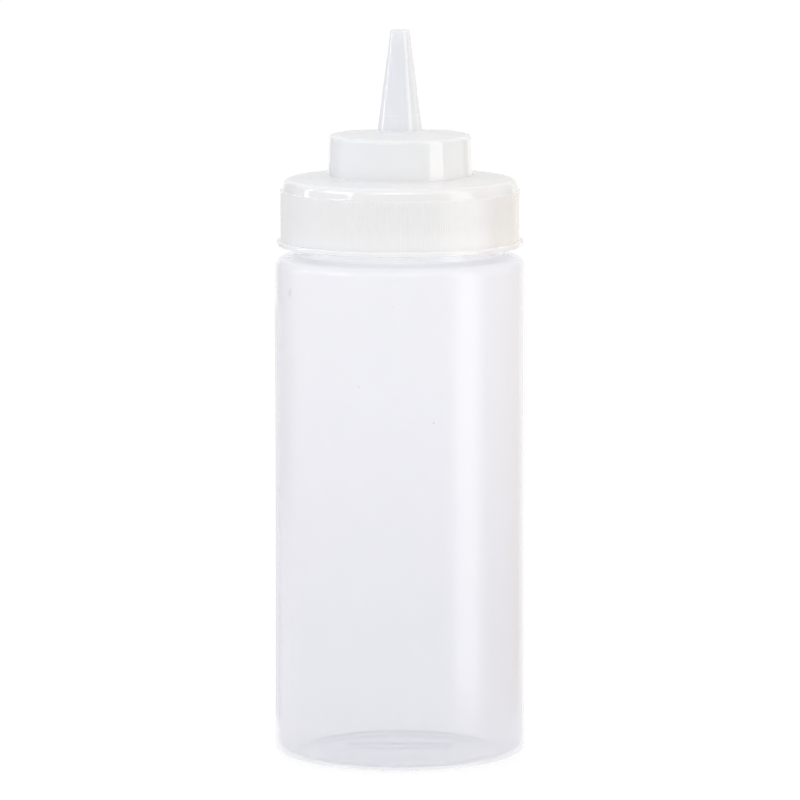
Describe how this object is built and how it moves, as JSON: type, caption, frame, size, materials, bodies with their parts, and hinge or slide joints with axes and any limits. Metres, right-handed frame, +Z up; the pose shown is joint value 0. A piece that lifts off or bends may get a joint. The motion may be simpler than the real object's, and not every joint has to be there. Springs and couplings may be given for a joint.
{
  "type": "squeeze bottle",
  "caption": "Empty round squeeze bottle for sauces in milky soft plastic, with a wide neck and a ribbed screw cap that narrows to a cone nozzle.",
  "frame": {"origin": "centre of the foot ring, on the surface that the bottle stands on", "axes": "+Z up along the bottle's axis, towards the nozzle's tip"},
  "size_m": [0.0704, 0.0704, 0.2052],
  "materials": {
    "body_plastic": "satin translucent natural polyethylene",
    "cap_plastic": "satin translucent natural polyethylene"
  },
  "bodies": {
    "root": {"bottle": "body_plastic", "cap": "cap_plastic"}
  },
  "joints": []
}
